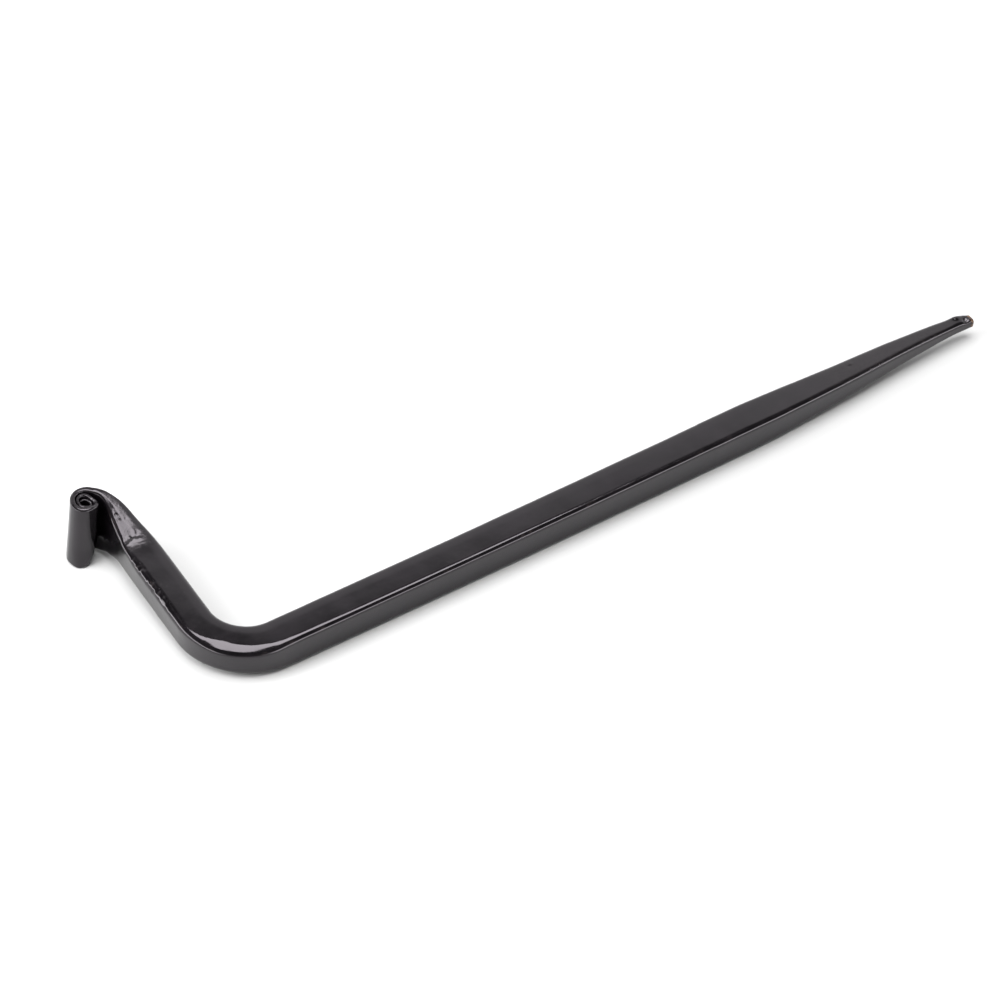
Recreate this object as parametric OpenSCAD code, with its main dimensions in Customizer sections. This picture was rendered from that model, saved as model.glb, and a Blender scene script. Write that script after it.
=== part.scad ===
// Cane bolt: one length of square bar, forged to a point at the foot of
// the shank, bent square to make the handle, then flattened, flared and
// rolled into a tight scroll at the handle's end. It lies on a flat
// surface, on one lower edge of the shank and the lower rim of the scroll.

/* [Bar] */
// Width and height of the square bar
bar = 12.7; // [10:0.1:16]
// Radius on the long edges of the bar
edge_r = 1.9; // [0.8:0.1:2.6]

/* [Shank] */
// Length of the shank, from the handle's centre line to the end of the point
shank_len = 307.5; // [200:0.5:600]
// Length of the drawn-down point, out of the length of the shank
point_len = 101.5; // [60:0.5:140]
// Width of the blunt end of the point
point_w = 3.4; // [3:0.1:6]
// How far the drawn point leans towards the handle's side
point_lean = 1.9; // [0:0.1:4]

/* [Handle] */
// Radius of the bend, to the bar's centre line
bend_r = 19.7; // [15:0.1:30]
// Distance from the shank's centre line to the shoulder, where the flattening starts
shoulder_at = 51; // [42:1:90]

/* [Scroll] */
// Height of the flattened and flared end
scroll_h = 25.8; // [20:0.1:30]
// Thickness of the flattened strip where it starts to roll
strip_t = 2.1; // [1.8:0.1:2.2]
// Gap between one turn of the roll and the next
roll_gap = 0.2; // [0.2:0.05:0.3]
// Angle by which the roll leans away from upright, towards the inside of the L
roll_lean = 7.7; // [0:0.1:10]
// Angle by which the roll leans away from the shank
roll_lean_back = 3.1; // [0:0.1:5]

/* [Hidden] */

half = bar / 2;
core = half - edge_r;
// How far the drawn point and the flattened strip reach into the plain bar
lap = 1.5;
// They start this much smaller than the bar, so that no two faces coincide
inset = 0.02;

// Four points round one corner of a section of half sizes a and b
function corner(q, a, b, r) = [for (k = [0 : 3])
    let (t = 90 * q + 30 * k, sx = (q == 0 || q == 3) ? 1 : -1, sy = q < 2 ? 1 : -1)
    [sx * (a - r) + r * cos(t), sy * (b - r) + r * sin(t)]];
// Rounded square of half size a
function ring(a, r) = [for (q = [0 : 3]) each corner(q, a, a, r)];
// Section of the strip: half thickness a, half height b at a crest that lies
// at x, and lower by din and dout at the two sides
function crested(a, b, din, dout, x, rin, rout) = concat(
    corner(0, a, b - din, rin), [[x, b]], corner(1, a, b - dout, rout),
    corner(2, a, b - dout, rout), [[x, -b]], corner(3, a, b - din, rin));
// The section between two points of the plan, its height leaning by l
function standing(i, o, l, g) = let (c = (i + o) / 2, d = (i - o) / norm(i - o))
    [for (q = g) [c.x + q.x * d.x + l.x * q.y, c.y + q.x * d.y + l.y * q.y, q.y]];
function height(share) = half + share * (scroll_h / 2 - half);
lean = [tan(roll_lean), tan(roll_lean_back)];

// The shoulder, hammered thin from both sides while it spreads in height:
// [run, inside at x, outside at -x, outside lags by, flare, drop on the
//  inside, drop on the outside, crest from the inside, lean, edge radii]
shoulder_form = [
    [3.8, 5.8, 5.9, 0.3, 0.02, 0.2, 0.3, 6.0, 0.20, 1.7, 1.5],
    [7.5, 5.2, 5.6, 0.7, 0.10, 0.4, 0.7, 4.9, 0.35, 1.6, 1.2],
    [11.2, 4.4, 5.2, 1.2, 0.22, 0.6, 1.4, 4.4, 0.50, 1.4, 1.1],
    [14.6, 3.3, 4.9, 1.4, 0.37, 0.5, 1.9, 4.6, 0.65, 1.3, 1.0],
    [17.8, 2.3, 4.6, 1.6, 0.53, 0.5, 2.3, 4.8, 0.80, 1.2, 0.9],
    [20.7, 1.0, 4.5, 1.8, 0.69, 0.4, 2.4, 4.4, 0.90, 1.1, 0.9],
    [23.1, -0.6, 4.6, 1.9, 0.83, 0.3, 1.9, 3.4, 1.00, 0.9, 0.8],
    [25.5, -2.3, 5.0, 2.1, 0.92, 0.2, 1.1, 2.4, 1.00, 0.85, 0.8],
    [27.2, -4.1, 5.9, 2.1, 0.97, 0.1, 0.3, 1.7, 1.00, 0.8, 0.7]];
shoulder_rings = concat(
    [for (y = [-lap, 0]) standing([half - inset, y], [inset - half, y], [0, 0],
        crested(half - inset, half - inset, 0, 0, 0, edge_r, edge_r))],
    [for (f = shoulder_form) let (i = [f[1], f[0]], o = [-f[2], f[0] - f[3]], a = norm(i - o) / 2)
        standing(i, o, lean * f[8],
            crested(a, height(f[4]), f[5], f[6], a - f[7], f[9], f[10]))]);

// The roll, round a centre in the plan: from the strip's full turn to its inner end
roll_centre = [-11.25, 24.35];
roll_from = 33;
roll_to = 826;
// Radius of the roll's outside against the angle, up to where it tucks in
// behind itself; from there each turn follows the one outside it
outer_turn = [[33, 7.0], [46, 6.75], [59, 6.5], [72, 6.2], [85, 5.9], [98, 5.6], [111, 5.3],
    [124, 5.0], [137, 4.7], [155, 4.4], [190, 4.35], [225, 4.5], [270, 4.6], [290, 4.75],
    [310, 5.05], [325, 5.3], [335, 5.35], [345, 5.25], [355, 5.0], [364, 4.75], [378, 4.45]];
function thick(a) = strip_t * lookup(a, [[33, 1.14], [60, 1.05], [90, 0.95], [120, 0.9],
    [270, 0.9], [300, 0.93], [335, 0.98], [360, 0.88], [380, 0.79], [420, 0.69], [450, 0.63],
    [515, 0.56], [590, 0.5], [650, 0.45], [720, 0.4], [830, 0.36]]);
function tucked(a) = roll_r(a - 360) - thick(a - 360) - roll_gap;
function roll_r(a) = a <= 378 ? lookup(a, outer_turn)
    : a < 393 ? lookup(a, [[378, 4.45], [393, tucked(393)]])
    : tucked(a);
// Shares of the flare at the roll's top and bottom: the bottom is cut
// shorter where the outer turn meets the strip
function roll_top(a) = lookup(a, [[33, 0.98], [90, 1], [240, 1], [290, 0.95], [320, 0.83],
    [345, 0.74], [370, 0.76], [400, 0.86], [430, 0.92], [480, 0.92], [604, 0.91], [640, 0.85],
    [690, 0.73], [730, 0.76], [830, 0.77]]);
function roll_foot(a) = lookup(a, [[33, 0.98], [90, 1], [240, 1], [265, 0.94], [285, 0.7],
    [300, 0.47], [320, 0.19], [340, 0.07], [360, 0.13], [390, 0.4], [420, 0.71], [480, 0.89],
    [600, 0.89], [640, 0.68], [660, 0.44], [700, 0.16], [730, 0.28], [830, 0.63]]);
function round_centre(a, r) = roll_centre + r * [cos(a), sin(a)];
roll_rings = [for (a = [roll_from : 13 : roll_to]) let (r = roll_r(a), t = thick(a), e = min(0.8, 0.4 * t),
        up = height(roll_top(a)), down = height(roll_foot(a)), rise = (up - down) / 2)
    standing(round_centre(a, r), round_centre(a, r - t), lean,
        [for (q = crested(t / 2, (up + down) / 2, 0, 0, 0, e, e)) [q.x, q.y + rise]])];
strip_rings = [for (g = concat(shoulder_rings, roll_rings))
    [for (q = g) [q.x, q.y + shoulder_at, q.z]]];

// The point: share of its length, share of the bar's width, share of the lean
point_form = [[0, 1, 0], [0.06, 0.98, 0], [0.14, 0.95, 0.03], [0.24, 0.89, 0.12],
    [0.34, 0.83, 0.23], [0.44, 0.765, 0.37], [0.54, 0.705, 0.57], [0.63, 0.635, 0.8],
    [0.73, 0.555, 0.94], [0.83, 0.49, 1], [0.9, 0.415, 0.97], [0.93, 0.41, 0.97],
    [0.96, 0.385, 0.84], [0.985, 0.32, 0.5]];
point_rings = concat(
    [[for (q = ring(half - inset, edge_r)) [shank_len - point_len - lap, -q.x, q.y]]],
    [for (f = point_form) let (hw = half * f[1] - inset, r = min(edge_r, 0.6 * hw))
        [for (q = ring(hw, r))
            [shank_len - point_len * (1 - f[0]), -q.x + point_lean * f[2], q.y]]],
    [[for (q = ring(point_w / 2, 0.3 * point_w))
        [shank_len - 0.6, -q.x + point_lean * 0.3, q.y]]],
    [[for (q = ring(point_w / 2 - 0.7, 0.6))
        [shank_len, -q.x + point_lean * 0.25, q.y]]]);

// Angle that the L is tipped about its shank, so that a point of the scroll
// reaches the surface that the shank's lower edge lies on
function tip_angle(q) = let (a = q.y + core, b = q.z + core)
    asin(-edge_r / sqrt(a * a + b * b)) - atan2(b, a);
rest_tilt = max([for (g = strip_rings, q = g) if (q.z < -half) tip_angle(q)]);

function tipped(q) = [q.x, q.y * cos(rest_tilt) - q.z * sin(rest_tilt),
                      q.y * sin(rest_tilt) + q.z * cos(rest_tilt)];
strip_pts = [for (g = strip_rings, q = g) tipped(q)];
low_x = min([for (q = strip_pts) q.x]);
low_z = -core * (cos(rest_tilt) + sin(rest_tilt)) - edge_r;
low_y = low_z;
high_y = max([for (q = strip_pts) q.y]);

// Skin over a row of sections, closed at both ends
module loft(rings) {
    n = len(rings[0]);
    m = len(rings);
    polyhedron(
        points = [for (g = rings, q = g) q],
        faces = concat(
            [for (i = [0 : m - 2], k = [0 : n - 1]) let (a = i * n + k,
                b = i * n + (k + 1) % n) [a, b, a + n]],
            [for (i = [0 : m - 2], k = [0 : n - 1]) let (a = i * n + k,
                b = i * n + (k + 1) % n) [b, b + n, a + n]],
            [[for (k = [n - 1 : -1 : 0]) k]],
            [[for (k = [0 : n - 1]) (m - 1) * n + k]]),
        convexity = 8);
}

// Section of the plain bar
module bar_section() {
    square([bar, 2 * core], center = true);
    square([2 * core, bar], center = true);
    for (x = [-core, core], y = [-core, core]) translate([x, y]) circle(r = edge_r, $fn = 32);
}

// The plain square bar: straight shank, quarter bend, straight handle
module plain_bar() {
    translate([bend_r, 0, 0]) rotate([90, 0, 90])
        linear_extrude(height = shank_len - point_len - bend_r) bar_section();
    translate([bend_r, bend_r, 0]) rotate([0, 0, 180])
        rotate_extrude(angle = 90, $fn = 96) translate([bend_r, 0]) bar_section();
    translate([0, shoulder_at, 0]) rotate([90, 0, 0])
        linear_extrude(height = shoulder_at - bend_r) bar_section();
}

module drawn_point() { loft(point_rings); }
module flared_scroll() { loft(strip_rings); }

module forged_rod() {
    color([0.035, 0.035, 0.038])
    translate([-(low_x + shank_len) / 2, -(low_y + high_y) / 2, -low_z])
    rotate([rest_tilt, 0, 0]) {
        plain_bar();
        drawn_point();
        flared_scroll();
    }
}

forged_rod();
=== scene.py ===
import math

import bpy
import numpy as np
from mathutils import Matrix, Vector, noise


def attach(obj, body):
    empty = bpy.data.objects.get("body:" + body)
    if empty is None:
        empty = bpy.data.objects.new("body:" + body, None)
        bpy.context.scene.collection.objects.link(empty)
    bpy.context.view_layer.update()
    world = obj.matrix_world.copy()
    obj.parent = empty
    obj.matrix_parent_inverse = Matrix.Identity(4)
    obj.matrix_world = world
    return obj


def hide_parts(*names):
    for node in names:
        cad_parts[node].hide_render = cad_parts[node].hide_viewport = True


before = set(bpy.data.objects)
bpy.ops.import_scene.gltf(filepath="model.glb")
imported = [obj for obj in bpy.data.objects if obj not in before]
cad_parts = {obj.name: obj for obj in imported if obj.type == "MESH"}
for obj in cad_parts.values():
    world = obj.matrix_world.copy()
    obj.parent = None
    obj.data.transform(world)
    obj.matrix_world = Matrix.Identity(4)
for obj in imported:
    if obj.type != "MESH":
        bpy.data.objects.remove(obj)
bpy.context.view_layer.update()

scene = bpy.context.scene
scene.view_settings.view_transform = "Standard"
scene.view_settings.look = "None"
scene.view_settings.exposure = 0.0
scene.view_settings.gamma = 1.0

MM = 0.001

# ---------------------------------------------------------------- the rod's own frame
# The L is drawn flat: the shank's axis on +X, the handle's on +Y, both at
# z = 0, in millimetres. It is then tipped about X and moved, as in the CAD.
TILT = math.radians(4.92191)
SHIFT = np.array([-145.124, -37.3078, 6.71539])
CT, ST = math.cos(TILT), math.sin(TILT)
TIP_ROT = np.array([[1, 0, 0], [0, CT, -ST], [0, ST, CT]])

# ---------------------------------------------------------------- camera
ELEV, AZIM = math.radians(44.976), math.radians(-32.931)
DIST, FPX = 1130.717, 3500.0
AIM_X, AIM_Y = 223.861, 668.618          # where the rod's corner lies in a 1000 x 1000 frame
back = Vector((math.sin(AZIM) * math.cos(ELEV), -math.cos(AZIM) * math.cos(ELEV), math.sin(ELEV)))
right = Vector((math.cos(AZIM), math.sin(AZIM), 0.0))
up = back.cross(right)
off_x = (AIM_X - 500.0) / FPX * DIST
off_y = -(AIM_Y - 500.0) / FPX * DIST
eye = Vector(SHIFT) + back * DIST - right * off_x - up * off_y
cam_data = bpy.data.cameras.new("camera")
cam_data.sensor_width = 36.0
cam_data.lens = 36.0 * FPX / 1000.0
cam_data.clip_start = 0.05
cam_data.clip_end = 30.0
cam_data.dof.use_dof = False
cam = bpy.data.objects.new("camera", cam_data)
m = Matrix.Identity(4)
for i in range(3):
    m[i][0], m[i][1], m[i][2] = right[i], up[i], back[i]
    m[i][3] = eye[i] * MM
cam.matrix_world = m
scene.collection.objects.link(cam)
scene.camera = cam

# ---------------------------------------------------------------- sizes, in millimetres
BAR = 12.7
HALF = BAR / 2
EDGE = 1.9
BEND = 19.7
TAPER0, LENGTH = 206.0, 307.4
BOW = -0.45
SCROLL_H = 25.8
ROLL_C = (-11.25, 75.35)                  # centre of the roll at mid height
LEAN_X, LEAN_Y = 0.135, 0.055             # the roll leans as it rises
ROLL_GAP = 0.22


def lerp(x, xs, ys):
    return float(np.interp(x, xs, ys))


def blend01(t):
    t = min(1.0, max(0.0, t))
    return t * t * (3 - 2 * t)


# ---------------------------------------------------------------- section of the bar
N_CORNER, N_SIDE = 10, 17
RING = 4 * (N_CORNER + N_SIDE)


def ring(a, b, radii):
    """Rounded rectangle, half sizes a (across) and b (up). Corners in order: inner top,
    outer top, outer bottom, inner bottom. Returns points and the corner share of each."""
    pts, cor = [], []
    for q in range(4):
        sx = 1 if q in (0, 3) else -1
        sy = 1 if q < 2 else -1
        r = radii[q]
        for k in range(N_CORNER):
            t = math.radians(90 * q + 90.0 * k / (N_CORNER - 1))
            pts.append((sx * (a - r) + r * math.cos(t), sy * (b - r) + r * math.sin(t)))
            cor.append(math.sin(math.pi * k / (N_CORNER - 1)))
        t = math.radians(90 * (q + 1))
        x0, y0 = sx * (a - r) + r * math.cos(t), sy * (b - r) + r * math.sin(t)
        q2 = (q + 1) % 4
        r2 = radii[q2]
        sx2 = 1 if q2 in (0, 3) else -1
        sy2 = 1 if q2 < 2 else -1
        x1, y1 = sx2 * (a - r2) + r2 * math.cos(t), sy2 * (b - r2) + r2 * math.sin(t)
        for k in range(1, N_SIDE + 1):
            u = k / (N_SIDE + 1.0)
            pts.append((x0 + (x1 - x0) * u, y0 + (y1 - y0) * u))
            cor.append(0.0)
    return np.array(pts), np.array(cor)


# ---------------------------------------------------------------- rows of the design
# One row: inner side x, y; outer side x, y; crest height; height at the inner side; height at
# the outer side; crest's distance from the inner side; lean x, y; mid height; corner radii x 4.
# "Inner" is the side inside the L, which becomes the outside of the roll.
# The last number tips the top and bottom faces down towards the outer side.
def bar_row(inner, outer, h=HALF, hi=HALF, ho=HALF, band=6.0, lean=(0, 0), zc=0.0, radii=(EDGE,) * 4,
            tip=0.0):
    return [inner[0], inner[1], outer[0], outer[1], h, hi, ho, band, lean[0], lean[1], zc, *radii, tip]


LOW_OUT = 2.7                             # the handle's lower outer edge is hammered rounder

# The shoulder: the bar is hammered thin from both sides and spreads in height
SHOULDER_ROWS = [
    #  inner side      outer side     crest inner outer band  lean x, y      radii
    ((6.35, 43.0), (-6.15, 43.0), 6.35, 6.09, 6.35, 10.8, 0.000, 0.000, (2.1, 2.6, 2.7, 1.9)),
    ((6.28, 47.0), (-6.12, 47.0), 6.35, 6.10, 6.35, 9.6, 0.000, 0.000, (2.0, 2.5, 2.7, 1.9)),
    ((6.10, 51.0), (-6.02, 51.0), 6.38, 6.15, 6.33, 7.6, 0.010, 0.000, (1.9, 2.1, 2.6, 1.8)),
    ((5.75, 54.8), (-5.90, 54.5), 6.52, 6.30, 6.25, 6.0, 0.025, 0.002, (1.7, 1.6, 2.4, 1.7)),
    ((5.20, 58.5), (-5.65, 57.8), 6.95, 6.58, 6.24, 4.9, 0.045, 0.006, (1.6, 1.2, 2.2, 1.6)),
    ((4.35, 62.2), (-5.30, 61.0), 7.75, 7.10, 6.45, 4.4, 0.070, 0.012, (1.5, 1.5, 1.9, 1.4)),
    ((3.35, 65.6), (-5.05, 64.2), 8.65, 8.15, 7.30, 4.2, 0.090, 0.020, (1.4, 1.4, 1.6, 1.3)),
    ((2.35, 68.8), (-4.95, 67.2), 9.75, 9.25, 8.45, 4.1, 0.110, 0.030, (1.3, 1.2, 1.4, 1.1)),
    ((1.05, 71.7), (-4.75, 69.9), 10.8, 10.4, 9.40, 3.6, 0.125, 0.040, (1.2, 0.9, 1.2, 1.0)),
    ((-0.60, 74.1), (-4.65, 72.2), 11.7, 11.4, 10.90, 2.8, 0.132, 0.050, (1.0, 0.7, 1.0, 0.9)),
    ((-2.35, 76.5), (-5.00, 74.4), 12.35, 12.1, 11.9, 2.2, 0.135, 0.055, (0.9, 0.7, 0.9, 0.9)),
    ((-4.10, 78.2), (-5.90, 76.1), 12.7, 12.6, 12.4, 1.7, 0.135, 0.055, (0.9, 0.75, 0.8, 0.9)),
]

# The roll: its outer surface and its thickness against the angle round the centre
ROLL_START, ROLL_END = 33.0, 826.0
R_KEYS = [33, 46, 59, 72, 85, 98, 111, 124, 137, 155, 190, 225, 270, 290, 310, 325, 335, 345, 355, 364, 378]
R_VALS = [7.00, 6.75, 6.50, 6.22, 5.92, 5.60, 5.28, 4.98, 4.70, 4.42, 4.34, 4.52, 4.60, 4.75, 5.05, 5.30, 5.35,
          5.25, 5.00, 4.75, 4.45]
T_KEYS = [33, 60, 90, 120, 270, 300, 335, 360, 380, 420, 450, 515, 590, 650, 720, 830]
T_VALS = [2.40, 2.20, 2.00, 1.90, 1.88, 1.95, 2.05, 1.85, 1.65, 1.45, 1.32, 1.18, 1.05, 0.95, 0.85, 0.75]
# Height of the roll's top and depth of its bottom. The bottom is cut shorter where the outer
# turn meets the strip.
H_KEYS = [33, 90, 240, 290, 320, 345, 370, 400, 430, 480, 604, 640, 690, 730, 830]
H_VALS = [12.75, 12.9, 12.9, 12.6, 11.8, 11.2, 11.3, 12.0, 12.4, 12.4, 12.3, 11.9, 11.1, 11.3, 11.4]
L_KEYS = [33, 90, 240, 265, 285, 300, 320, 340, 360, 390, 420, 480, 600, 640, 660, 700, 730, 830]
L_VALS = [12.75, 12.9, 12.9, 12.5, 10.9, 9.4, 7.6, 6.8, 7.2, 9.0, 11.0, 12.2, 12.2, 10.8, 9.2, 7.4, 8.2, 10.5]


def roll_t(a):
    return lerp(a, T_KEYS, T_VALS)


def roll_r(a):
    if a <= 378:
        return lerp(a, R_KEYS, R_VALS)
    if a < 393:
        return 4.45 + (roll_r(393) - 4.45) * (a - 378) / 15.0
    return roll_r(a - 360) - roll_t(a - 360) - ROLL_GAP


def polar(a, r):
    return (ROLL_C[0] + r * math.cos(math.radians(a)), ROLL_C[1] + r * math.sin(math.radians(a)))


ROWS = [bar_row(i, o, h, hi, ho, band, (lx, ly), 0.0, rad, -0.02 * (1 - blend01((i[1] - 43.0) / 16.0)))
        for i, o, h, hi, ho, band, lx, ly, rad in SHOULDER_ROWS]
ang = ROLL_START
while ang <= ROLL_END + 0.01:
    r, t = roll_r(ang), roll_t(ang)
    hi_, lo_ = lerp(ang, H_KEYS, H_VALS), lerp(ang, L_KEYS, L_VALS)
    h, dz = 0.5 * (hi_ + lo_), 0.5 * (hi_ - lo_)
    e = min(0.85, 0.42 * t)
    ROWS.append(bar_row(polar(ang, r), polar(ang, r - t), h, h, h, 0.5 * t,
                        (LEAN_X, LEAN_Y), dz, (e, 0.8 * e, 0.8 * e, e)))
    ang += 13.0
ROWS = np.array(ROWS)


def flow(rows, step):
    """Even stations along a smooth curve through the rows."""
    mid = 0.5 * (rows[:, 0:2] + rows[:, 2:4])
    knots = np.concatenate([[0], np.cumsum(np.linalg.norm(np.diff(mid, axis=0), axis=1))])
    n = len(rows)
    tang = np.zeros_like(rows)
    for i in range(n):
        if i == 0:
            tang[i] = (rows[1] - rows[0]) / (knots[1] - knots[0])
        elif i == n - 1:
            tang[i] = (rows[-1] - rows[-2]) / (knots[-1] - knots[-2])
        else:
            h0, h1 = knots[i] - knots[i - 1], knots[i + 1] - knots[i]
            d0, d1 = (rows[i] - rows[i - 1]) / h0, (rows[i + 1] - rows[i]) / h1
            tang[i] = (d0 * h1 + d1 * h0) / (h0 + h1)
    out = []
    m = int(math.ceil(knots[-1] / step))
    for j in range(m + 1):
        s = knots[-1] * j / m
        i = min(n - 2, max(0, int(np.searchsorted(knots, s, side="right")) - 1))
        h = knots[i + 1] - knots[i]
        t = (s - knots[i]) / h
        h00, h10 = 2 * t ** 3 - 3 * t ** 2 + 1, t ** 3 - 2 * t ** 2 + t
        h01, h11 = -2 * t ** 3 + 3 * t ** 2, t ** 3 - t ** 2
        out.append(h00 * rows[i] + h10 * h * tang[i] + h01 * rows[i + 1] + h11 * h * tang[i + 1])
    return np.array(out)


scroll = flow(ROWS, 0.3)[::-1]            # from the inner end of the roll to the plain handle

# The plain handle and the bend. Bending stretches the outside of the bar, so its faces
# sink there, and swells the inside.
plain = []
y = 42.6
while y > BEND + 0.2:
    plain.append(("handle", y))
    y -= 0.4
for k in range(76):
    plain.append(("bend", 90.0 * k / 75))
x = BEND + 0.5
while x < LENGTH - 0.75:
    plain.append(("shank", x))
    x += 0.5 if x < 45 else (0.85 if x < 200 else (0.6 if x < 294 else 0.22))
TX = [196, 200, 206, 212, 220, 230, 240, 250, 260, 270, 280, 290, 294, 297, 298.5, 300, 301.5, 303, 304.5, 306, 308]
TW = [6.35, 6.35, 6.34, 6.24, 6.02, 5.68, 5.27, 4.86, 4.47, 4.03, 3.53, 3.10, 2.86, 2.64, 2.58, 2.60, 2.60, 2.46, 2.30, 2.05, 1.7]
TY = [-0.06, 0.0, 0.0, 0.0, 0.05, 0.22, 0.43, 0.70, 1.08, 1.52, 1.79, 1.90, 1.88, 1.82, 1.80, 1.85, 1.80, 1.60, 1.32, 0.95, 0.4]


def smooth(v, n=3):
    v = np.array(v, float)
    for _ in range(n):
        w = v.copy()
        w[1:-1] = 0.25 * v[:-2] + 0.5 * v[1:-1] + 0.25 * v[2:]
        v = w
    return v


fine = np.arange(190.0, 308.01, 0.5)
fine_w = smooth(np.interp(fine, TX, TW), 14)
fine_y = smooth(np.interp(fine, TX, TY), 14)

# How far the outer part of the faces sinks round the bend, against the run along it
SINK_S = np.arange(-12.0, 60.0, 0.5)
SINK_D = smooth(np.interp(SINK_S, [-12, -2, 4, 7, 10, 14, 17, 20, 25, 28, 31, 36, 46, 60],
                          [0, 0.1, 0.42, 0.8, 1.2, 1.48, 1.40, 1.35, 1.42, 1.2, 0.85, 0.45, 0.3, 0.1]), 6)
SLOPE_W = smooth(np.interp(SINK_S, [-12, 0, 4, 8, 11, 14, 17, 20, 25, 28, 31, 38, 60],
                           [1.6, 1.7, 2.0, 2.5, 3.4, 4.2, 3.7, 3.4, 3.1, 2.6, 2.2, 1.9, 1.8]), 6)

rows = []
for kind, v in plain:
    if kind == "handle":
        run = BEND - v
        c, d = (0.0, v), (1.0, 0.0)
    elif kind == "bend":
        run = BEND * math.radians(v)
        c = (BEND - BEND * math.cos(math.radians(v)), BEND - BEND * math.sin(math.radians(v)))
        d = (math.cos(math.radians(v)), math.sin(math.radians(v)))
    else:
        run = BEND * math.pi / 2 + v - BEND
        c, d = (v, 0.0), (0.0, 1.0)
    sink = float(np.interp(run, SINK_S, SINK_D))
    slope_w = float(np.interp(run, SINK_S, SLOPE_W))
    tilt = 0.030 * math.exp(-((run - 14.0) / 11.0) ** 2) - 0.02 * (1 - blend01((run + 16.0) / 18.0))
    inner = HALF
    outer = HALF - 0.05 - 0.15 * (1 - blend01((run - 6.0) / 30.0)) - 0.1 * math.exp(-((run - 12.0) / 10.0) ** 2)
    hz = HALF
    low = LOW_OUT + (EDGE - LOW_OUT) * blend01((run - 14.0) / 24.0)
    top_in = 2.1
    top_out = 1.75 + 0.85 * (1 - blend01((run + 4.0) / 12.0))
    off = 0.0
    if kind == "shank":
        if v < TAPER0:
            w_ = (v - BEND) / (TAPER0 - BEND)
            off = BOW * 4 * w_ * (1 - w_)
        if v > 190:
            inner = outer = hz = float(np.interp(v, fine, fine_w))
            off += float(np.interp(v, fine, fine_y)) if v >= TAPER0 else 0.0
            low = min(low, 0.62 * hz)
            top_in = top_out = min(EDGE, 0.6 * hz)
    ease = 0.26 * min(1.0, hz / HALF) ** 2
    rows.append(bar_row((c[0] + d[0] * inner, c[1] + d[1] * inner + off),
                        (c[0] - d[0] * outer, c[1] - d[1] * outer + off),
                        hz, hz - ease, hz - sink * hz / HALF, 2 * hz - slope_w * hz / HALF,
                        (0, 0), 0.0, (top_in, top_out - 0.5 * blend01(sink / 1.3), low, min(EDGE, 0.62 * hz)),
                        tilt))
body = np.array(rows)
S = np.concatenate([scroll, body])
N_SCROLL = len(scroll)
kinds = ["scroll"] * N_SCROLL + [k for k, _ in plain]


def skin(S):
    n = len(S)
    P = np.zeros((n, RING, 3))
    corner = np.zeros((n, RING))
    for i in range(n):
        ix, iy, ox, oy, h, hi, ho, band, lx, ly, zc = S[i, :11]
        a = 0.5 * math.hypot(ix - ox, iy - oy)
        dx, dy = (ix - ox) / (2 * a), (iy - oy) / (2 * a)
        radii = [min(r, 0.46 * 2 * a, 0.46 * 2 * h) for r in S[i, 11:15]]
        pts, cor = ring(a, h, radii)
        corner[i] = cor
        xb = min(0.95 * a, max(-0.95 * a, a - band))
        px, pz = pts[:, 0], pts[:, 1]
        # down from the crest: an easing towards the inner side, a slope towards the outer one
        xi = max(xb, 0.30 * a)
        tin = np.clip((px - xi) / (a - xi), 0, 1)
        tout = np.clip((xb - px) / (xb + a), 0, 1)
        soft = 0.16
        slope = np.where(tout < soft, tout * tout / (2 * soft), tout - soft / 2) / (1 - soft / 2)
        fall = (h - hi) * tin ** 1.6 + (h - ho) * slope
        # hammered faces are a little crowned, not flat
        crown = 0.06 * (1 - (px / a) ** 2) * min(1.0, a / 5.0)
        # the underside sinks less than the top
        share = np.where(pz > 0, 1.0, 0.55 if i >= N_SCROLL else 1.0)
        # the shoulder's upper outer edge stands up as a thin ridge
        my = 0.5 * (iy + oy)
        ridge = 0.2 * blend01((my - 57.0) / 4.0) * (1 - blend01((my - 68.5) / 2.5)) if ix > 0 else 0.0
        rise = np.clip((1.9 - (px + a)) / 0.6, 0, 1)
        fall = fall - np.where(pz > 0, ridge * rise * rise * (3 - 2 * rise), 0.0)
        z = pz * (1 - (share * fall - crown - S[i, 15] * px) / h)
        P[i, :, 0] = 0.5 * (ix + ox) + px * dx + lx * (z + zc)
        P[i, :, 1] = 0.5 * (iy + oy) + px * dy + ly * (z + zc)
        P[i, :, 2] = zc + z
    return P, corner


P, CORNER = skin(S)


def grid_normals(P):
    along = np.empty_like(P)
    along[1:-1] = P[2:] - P[:-2]
    along[0], along[-1] = P[1] - P[0], P[-1] - P[-2]
    around = np.roll(P, -1, axis=1) - np.roll(P, 1, axis=1)
    N = np.cross(around, along)
    ln = np.linalg.norm(N, axis=2, keepdims=True)
    return N / np.maximum(ln, 1e-12)


N = grid_normals(P)
# the ring runs counter-clockwise seen from the scroll's side: make the normals point outwards
mid_ = P.mean(axis=1, keepdims=True)
if ((P - mid_) * N).sum() < 0:
    N = -N

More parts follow.
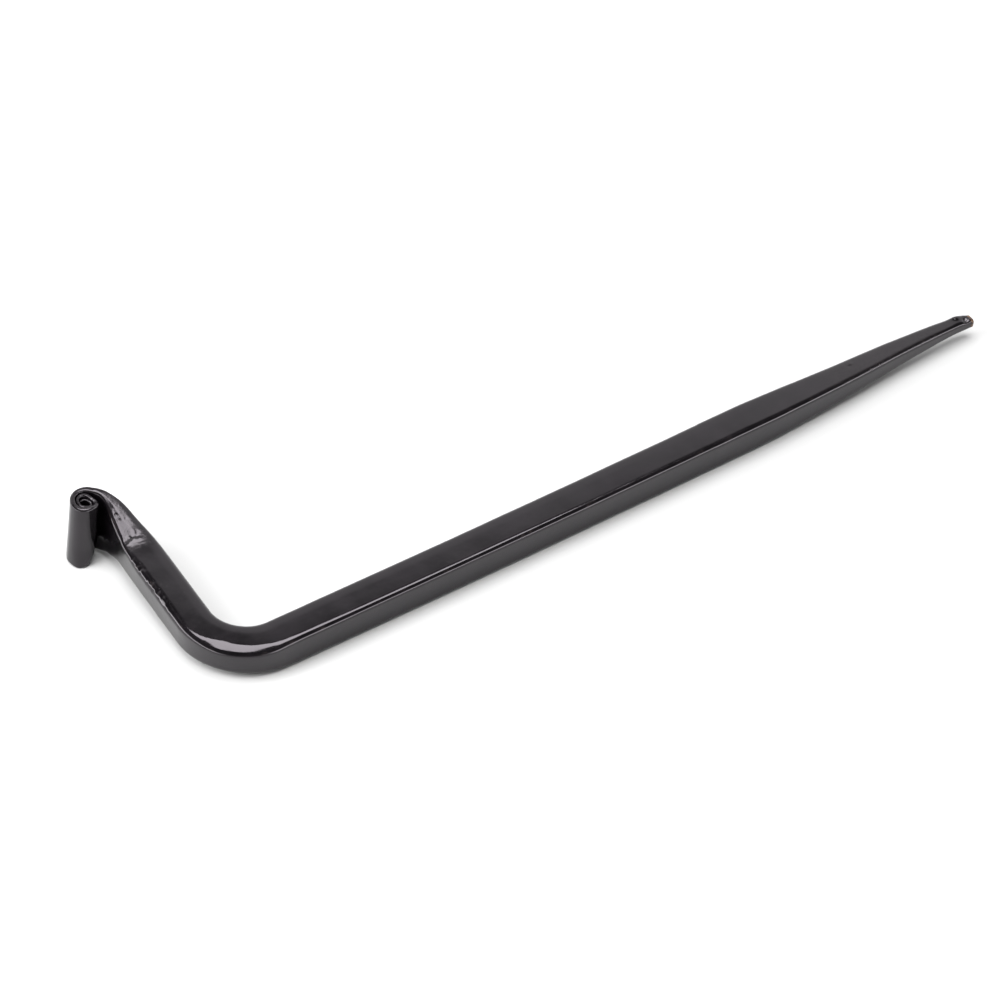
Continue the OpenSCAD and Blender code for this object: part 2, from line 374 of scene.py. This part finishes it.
# ---------------------------------------------------------------- hammered surface
# Small marks: x, y, z, radius, height (below zero is a pit)
MARKS = [
    (-1.92, 68.0, 9.35, 0.38, -0.24), (-1.88, 65.8, 8.5, 0.32, -0.20), (0.2, 65.1, 8.7, 0.5, -0.14),
    (-1.96, 58.7, 6.5, 0.75, -0.42), (0.31, 58.1, 6.5, 0.7, -0.34), (-0.9, 57.6, 6.5, 0.9, 0.26),
    (-2.6, 57.1, 6.4, 0.9, 0.30), (-0.2, 60.6, 6.8, 1.3, 0.22), (-1.3, 59.6, 6.6, 0.6, 0.14),
    (1.2, 59.3, 6.7, 0.8, -0.16), (-3.4, 58.3, 6.3, 0.6, -0.20), (0.9, 57.0, 6.5, 0.7, 0.16),
    (0.5, 70.6, 9.3, 0.5, -0.12), (254.0, 2.3, 4.9, 0.6, 0.12), (252.6, 1.9, 4.9, 0.5, -0.10),
    (303.7, 0.45, 2.0, 0.85, -0.75), (302.0, 2.6, 2.5, 1.2, 0.22), (305.6, 0.1, 1.6, 0.7, 0.18),
    (300.8, 3.3, 2.4, 1.0, 0.18),
]


def dents(p, n, kind, corner):
    v = Vector(p)
    a = noise.noise(v / 19.0 + Vector((3.1, 0, 0)))
    b = noise.noise(v / 8.0 + Vector((0, 9.7, 0)))
    c = noise.noise(v / 2.6 + Vector((5.5, 1.2, 7.9)))
    d = 0.065 * a + 0.03 * b + 0.005 * c - 0.03
    x, y, z = p
    if x < 45:
        d += 0.011 * (1 - abs(n[2])) * noise.noise(v / 2.3 + Vector((7.7, 0, 4.4)))
    # forge scale left on the drawn point
    if x > 235 and n[2] > 0.2:
        g = blend01((x - 238) / 12.0) * (1 - blend01((x - 286) / 12.0))
        d += g * 0.016 * (noise.noise(v / 0.9) + 0.6 * noise.noise(v / 0.45))
    # the handle's upper outer edge is chipped
    if x < 2 and 24 < y < 54 and corner > 0.15 and n[2] > 0.15 and n[0] < -0.1:
        g = blend01((y - 24) / 6.0) * (1 - blend01((y - 50) / 4.0))
        d -= g * corner * 0.34 * max(0.0, noise.noise(v / 1.7 + Vector((2.2, 8.8, 0))) + 0.12)
    return d


D = np.zeros(P.shape[:2])
for i in range(P.shape[0]):
    for k in range(RING):
        D[i, k] = dents(P[i, k], N[i, k], kinds[i], CORNER[i, k])
for mx, my, mz, mr, mh in MARKS:
    c = np.array([mx, my, mz])
    near = np.where(np.abs(P[:, :, 0:2].mean(axis=1) - c[:2]).max(axis=1) < 14)[0]
    for i in near:
        dist = np.linalg.norm(P[i] - c, axis=1)
        top = N[i, :, 2] > 0.25
        D[i] += np.where(top, mh * np.exp(-(dist / mr) ** 2), 0.0)
P = P + N * D[..., None]
for i in range(N_SCROLL):
    if i < N_SCROLL - 40:
        foot = np.clip((-5.0 - P[i, :, 2]) / 6.0, 0, 1)
        foot = foot * foot * (3 - 2 * foot)
        out_y = np.clip((ROLL_C[1] - 1.5 - P[i, :, 1]) / 2.5, 0, 1) * (P[i, :, 0] < -9.5)
        P[i, :, 1] -= 0.75 * foot * out_y


# ---------------------------------------------------------------- mesh
def to_world(P):
    return (P @ TIP_ROT.T + SHIFT) * MM


verts = P.reshape(-1, 3)
n = P.shape[0]
faces = []
for i in range(n - 1):
    for k in range(RING):
        a = i * RING + k
        b = i * RING + (k + 1) % RING
        faces.append((a, b, b + RING, a + RING))
verts = to_world(verts)
verts[:, 2] = np.maximum(verts[:, 2], 0.0)
verts = list(map(tuple, verts))
# ends: two inner rings and a fan
for end in (0, n - 1):
    base = end * RING
    ringv = [verts[base + k] for k in range(RING)]
    c = np.mean(np.array(ringv), axis=0)
    nxt = np.mean(np.array([verts[(1 if end == 0 else n - 2) * RING + k] for k in range(RING)]), axis=0)
    ax = c - nxt
    ax /= np.linalg.norm(ax)
    prev = base
    bulge = (0.5 if end == 0 else 0.85) * MM
    for f, g in ((0.97, 0.25), (0.88, 0.5), (0.74, 0.71), (0.52, 0.88), (0.26, 0.97)):
        start = len(verts)
        for k in range(RING):
            q = c + (np.array(ringv[k]) - c) * f + ax * bulge * g
            verts.append(tuple(q))
        for k in range(RING):
            a, b = prev + k, prev + (k + 1) % RING
            a2, b2 = start + k, start + (k + 1) % RING
            faces.append((a, a2, b2, b) if end == 0 else (a, b, b2, a2))
        prev = start
    verts.append(tuple(c + ax * bulge))
    top = len(verts) - 1
    for k in range(RING):
        a, b = prev + k, prev + (k + 1) % RING
        faces.append((a, top, b) if end == 0 else (a, b, top))

mesh = bpy.data.meshes.new("forged_rod_skin")
mesh.from_pydata(verts, [], faces)
mesh.validate()
mesh.update()
rod = bpy.data.objects.new("forged_rod_skin", mesh)
scene.collection.objects.link(rod)
for poly in mesh.polygons:
    poly.use_smooth = True

# Where the coating is worn, hammered rough, scaled or gone, one number per point
FLAT = P.reshape(-1, 3)
FLAT_N = N.reshape(-1, 3)
FLAT_C = CORNER.reshape(-1)
KIND = np.repeat(np.array(kinds), RING)
total = len(verts)
wear, rough, scale_, bare = (np.zeros(total) for _ in range(4))
for j in range(len(FLAT)):
    x, y, z = FLAT[j]
    v = Vector((x, y, z))
    up_ = max(0.0, FLAT_N[j, 2])
    wear[j] = FLAT_C[j] * max(0.0, 0.35 + noise.noise(v / 5.0) + 0.5 * noise.noise(v / 1.3))
    if x < 12 and y > 50:
        rough[j] = blend01((y - 51.5) / 4.0) * (1 - blend01((y - 75) / 4.0)) * blend01(up_ * 2.0)
        rough[j] *= 1 - 0.85 * FLAT_C[j]
    if x > 230:
        scale_[j] = blend01((x - 234) / 12.0) * (1 - blend01((x - 290) / 12.0)) * blend01(up_ * 2.0)
    if x > 298:
        bare[j] = blend01((x - 305.3 + 1.2 * noise.noise(v / 1.1) + 0.7 * noise.noise(v / 0.4)) / 1.4)
for j in range(len(FLAT), total):
    if verts[j][0] > 0:
        bare[j] = 0.9
for name, values in (("edge_wear", wear), ("hammered", rough), ("forge_scale", scale_), ("bare_end", bare)):
    att = mesh.attributes.new(name, "FLOAT", "POINT")
    att.data.foreach_set("value", np.clip(values, 0, 1).astype(np.float32))

# ---------------------------------------------------------------- material
mat = bpy.data.materials.new("black_coated_iron")
mat.use_nodes = True
nt = mat.node_tree
bsdf = nt.nodes["Principled BSDF"]
bsdf.inputs["Specular Tint"].default_value = (1.0, 0.93, 1.0, 1)
bsdf.inputs["IOR"].default_value = 1.5
tc = nt.nodes.new("ShaderNodeTexCoord")


def grain(scale, detail=3.0, rough_=0.55):
    nd = nt.nodes.new("ShaderNodeTexNoise")
    nd.inputs["Scale"].default_value = scale
    nd.inputs["Detail"].default_value = detail
    nd.inputs["Roughness"].default_value = rough_
    nt.links.new(tc.outputs["Object"], nd.inputs["Vector"])
    return nd.outputs["Fac"]


def number(name):
    nd = nt.nodes.new("ShaderNodeAttribute")
    nd.attribute_name = name
    return nd.outputs["Fac"]


def maths(op, a, b=0.0, c=0.0):
    nd = nt.nodes.new("ShaderNodeMath")
    nd.operation = op
    for k, v in enumerate((a, b, c)):
        if isinstance(v, (int, float)):
            nd.inputs[k].default_value = v
        else:
            nt.links.new(v, nd.inputs[k])
    return nd.outputs["Value"]


def span(v, a, b, c=0.0, d=1.0):
    nd = nt.nodes.new("ShaderNodeMapRange")
    nd.interpolation_type = "SMOOTHSTEP"
    nt.links.new(v, nd.inputs["Value"])
    for key, val in (("From Min", a), ("From Max", b), ("To Min", c), ("To Max", d)):
        nd.inputs[key].default_value = val
    return nd.outputs["Result"]


def colours(fac, a, b):
    nd = nt.nodes.new("ShaderNodeMix")
    nd.data_type = "RGBA"
    nt.links.new(fac, nd.inputs["Factor"])
    for sock, v in ((nd.inputs[6], a), (nd.inputs[7], b)):
        if isinstance(v, tuple):
            sock.default_value = (*v, 1)
        else:
            nt.links.new(v, sock)
    return nd.outputs[2]


edge, hammered, scaled, bare_end = number("edge_wear"), number("hammered"), number("forge_scale"), number("bare_end")
mottle, speck, fine_grain = grain(90.0, 4.0), grain(900.0, 3.0), grain(2600.0, 2.0)
coat = colours(span(mottle, 0.38, 0.66), (0.0010, 0.0008, 0.0011), (0.0030, 0.0024, 0.0031))
coat = colours(span(speck, 0.60, 0.72, 0.0, 0.6), coat, (0.0065, 0.0055, 0.0062))
rubbed = maths("MULTIPLY", span(edge, 0.42, 0.85), span(speck, 0.40, 0.62))
coat = colours(maths("MULTIPLY", rubbed, 0.55), coat, (0.020, 0.016, 0.015))
dusty = maths("MULTIPLY", scaled, span(fine_grain, 0.42, 0.62))
coat = colours(maths("MULTIPLY", dusty, 0.5), coat, (0.011, 0.010, 0.010))
rust = colours(span(speck, 0.38, 0.62), (0.030, 0.013, 0.005), (0.105, 0.052, 0.018))
coat = colours(bare_end, coat, rust)
nt.links.new(coat, bsdf.inputs["Base Color"])
rgh = maths("ADD", 0.075, span(mottle, 0.35, 0.70, 0.0, 0.035))
rgh = maths("MULTIPLY_ADD", hammered, span(mottle, 0.35, 0.65, 0.10, 0.20), rgh)
rgh = maths("MULTIPLY_ADD", scaled, span(speck, 0.40, 0.62, 0.02, 0.14), rgh)
rgh = maths("MULTIPLY_ADD", rubbed, 0.06, rgh)
rgh = maths("MULTIPLY_ADD", bare_end, 0.42, rgh)
nt.links.new(rgh, bsdf.inputs["Roughness"])
# surface: orange peel of the coating, pimples on the hammered shoulder, scale on the point
peel = grain(620.0, 2.0, 0.4)
height = maths("MULTIPLY", peel, 0.35)
height = maths("MULTIPLY_ADD", maths("MULTIPLY", hammered, span(grain(1100.0, 2.0), 0.42, 0.66)), 0.9, height)
height = maths("MULTIPLY_ADD", maths("MULTIPLY", scaled, fine_grain), 0.7, height)
height = maths("MULTIPLY_ADD", maths("MULTIPLY", bare_end, fine_grain), 2.5, height)
bump = nt.nodes.new("ShaderNodeBump")
bump.inputs["Strength"].default_value = 0.35
bump.inputs["Distance"].default_value = 0.00006
nt.links.new(height, bump.inputs["Height"])
nt.links.new(bump.outputs["Normal"], bsdf.inputs["Normal"])
mesh.materials.append(mat)

# ---------------------------------------------------------------- floor and light
floor_mesh = bpy.data.meshes.new("floor")
F = 4.0
floor_mesh.from_pydata([(-F, -F, 0), (F, -F, 0), (F, F, 0), (-F, F, 0)], [], [(0, 1, 2, 3)])
floor = bpy.data.objects.new("floor", floor_mesh)
floor.location = (0, 0, -0.00002)
scene.collection.objects.link(floor)
fm = bpy.data.materials.new("floor")
fm.use_nodes = True
fb = fm.node_tree.nodes["Principled BSDF"]
fb.inputs["Base Color"].default_value = (0.43, 0.43, 0.43, 1)
fb.inputs["Roughness"].default_value = 0.7
fb.inputs["Specular IOR Level"].default_value = 0.2
floor_mesh.materials.append(fm)

world = bpy.data.worlds.new("studio")
scene.world = world
world.use_nodes = True
wn = world.node_tree
for nd in list(wn.nodes):
    wn.nodes.remove(nd)


def wnode(kind, **values):
    nd = wn.nodes.new(kind)
    for k, v in values.items():
        setattr(nd, k, v)
    return nd


def level_ramp(levels):
    """A ramp over the sine of the elevation, from pairs of degrees and radiance."""
    top = max(v for _, v in levels)
    nd = wnode("ShaderNodeValToRGB")
    cr = nd.color_ramp
    cr.interpolation = "LINEAR"
    for j, (e, v) in enumerate(levels):
        pos = max(0.0, math.sin(math.radians(e)))
        if j == 0:
            el = cr.elements[0]
        elif j == len(levels) - 1:
            el = cr.elements[1] if len(cr.elements) == 2 and len(levels) == 2 else cr.elements[-1]
        else:
            el = cr.elements.new(pos)
        el.position = pos
        el.color = (v / top, v / top, v / top, 1)
    mul = wnode("ShaderNodeMath", operation="MULTIPLY")
    mul.inputs[1].default_value = top
    wn.links.new(nd.outputs["Color"], mul.inputs[0])
    return nd, mul


out = wnode("ShaderNodeOutputWorld")
wtc = wnode("ShaderNodeTexCoord")
sep = wnode("ShaderNodeSeparateXYZ")
wn.links.new(wtc.outputs["Generated"], sep.inputs["Vector"])
# The pale sweep behind the table on one side, the dim room on the other
BACK_WALL = [(0, 1.3), (30, 1.35), (45, 1.3), (50, 1.27), (53, 1.10), (56, 0.62), (59, 0.26), (62, 0.12), (90, 0.3)]
ROOM = [(0, 9.0), (6, 8.0), (11, 3.2), (16, 0.4), (20, 0.18), (50, 0.16), (62, 0.2), (90, 0.3)]
NEAR = [(0, 0.7), (8, 0.5), (20, 0.18), (50, 0.16), (62, 0.2), (90, 0.3)]
r1, m1 = level_ramp(BACK_WALL)
r2, m2 = level_ramp(ROOM)
r3, m3 = level_ramp(NEAR)
for r_ in (r1, r2, r3):
    wn.links.new(sep.outputs["Z"], r_.inputs["Fac"])
side = wnode("ShaderNodeVectorMath", operation="DOT_PRODUCT")
side.inputs[1].default_value = (0.54, 0.84, 0.0)
wn.links.new(wtc.outputs["Generated"], side.inputs[0])
split = wnode("ShaderNodeMapRange", interpolation_type="SMOOTHSTEP")
split.inputs["From Min"].default_value = 0.12
split.inputs["From Max"].default_value = 0.45
wn.links.new(side.outputs["Value"], split.inputs["Value"])
# low windows all round the room, except on the near side
near = wnode("ShaderNodeMapRange", interpolation_type="SMOOTHSTEP")
near.inputs["From Min"].default_value = -0.94
near.inputs["From Max"].default_value = -0.80
wn.links.new(side.outputs["Value"], near.inputs["Value"])
room = wnode("ShaderNodeMix", data_type="FLOAT")
wn.links.new(near.outputs["Result"], room.inputs["Factor"])
wn.links.new(m3.outputs["Value"], room.inputs["A"])
wn.links.new(m2.outputs["Value"], room.inputs["B"])
blend = wnode("ShaderNodeMix", data_type="FLOAT")
wn.links.new(split.outputs["Result"], blend.inputs["Factor"])
wn.links.new(room.outputs["Result"], blend.inputs["A"])
wn.links.new(m1.outputs["Value"], blend.inputs["B"])
bg = wnode("ShaderNodeBackground")
bg.inputs["Color"].default_value = (1, 1, 1, 1)
wn.links.new(blend.outputs["Result"], bg.inputs["Strength"])
white = wnode("ShaderNodeBackground")
white.inputs["Color"].default_value = (1, 1, 1, 1)
white.inputs["Strength"].default_value = 1.0
lp = wnode("ShaderNodeLightPath")
mix = wnode("ShaderNodeMixShader")
wn.links.new(lp.outputs["Is Camera Ray"], mix.inputs["Fac"])
wn.links.new(bg.outputs["Background"], mix.inputs[1])
wn.links.new(white.outputs["Background"], mix.inputs[2])
wn.links.new(mix.outputs["Shader"], out.inputs["Surface"])

key = bpy.data.lights.new("overhead", "AREA")
key.shape = "DISK"
KEY_H = 2.5
key.size = 2 * KEY_H * math.tan(math.radians(24.0))
RADIANCE = 9.0
key.energy = RADIANCE * math.pi * (math.pi * (key.size / 2) ** 2)
lamp = bpy.data.objects.new("overhead", key)
lamp.location = (0.0, 0.0, KEY_H)
lamp.rotation_euler = Vector(lamp.location).to_track_quat("Z", "Y").to_euler()
scene.collection.objects.link(lamp)

# A wide, dim fill from the left lifts the floor there; it leaves no reflection of its own
fill = bpy.data.lights.new("left_fill", "AREA")
fill.shape = "DISK"
fill.size = 0.8
fill.energy = 15.0
fill_lamp = bpy.data.objects.new("left_fill", fill)
fill_lamp.location = (-0.78, 0.2, 0.58)
fill_lamp.rotation_euler = fill_lamp.location.to_track_quat("Z", "Y").to_euler()
fill_lamp.visible_glossy = False
scene.collection.objects.link(fill_lamp)

# ---------------------------------------------------------------- binding
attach(rod, "root")
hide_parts("forged_rod")
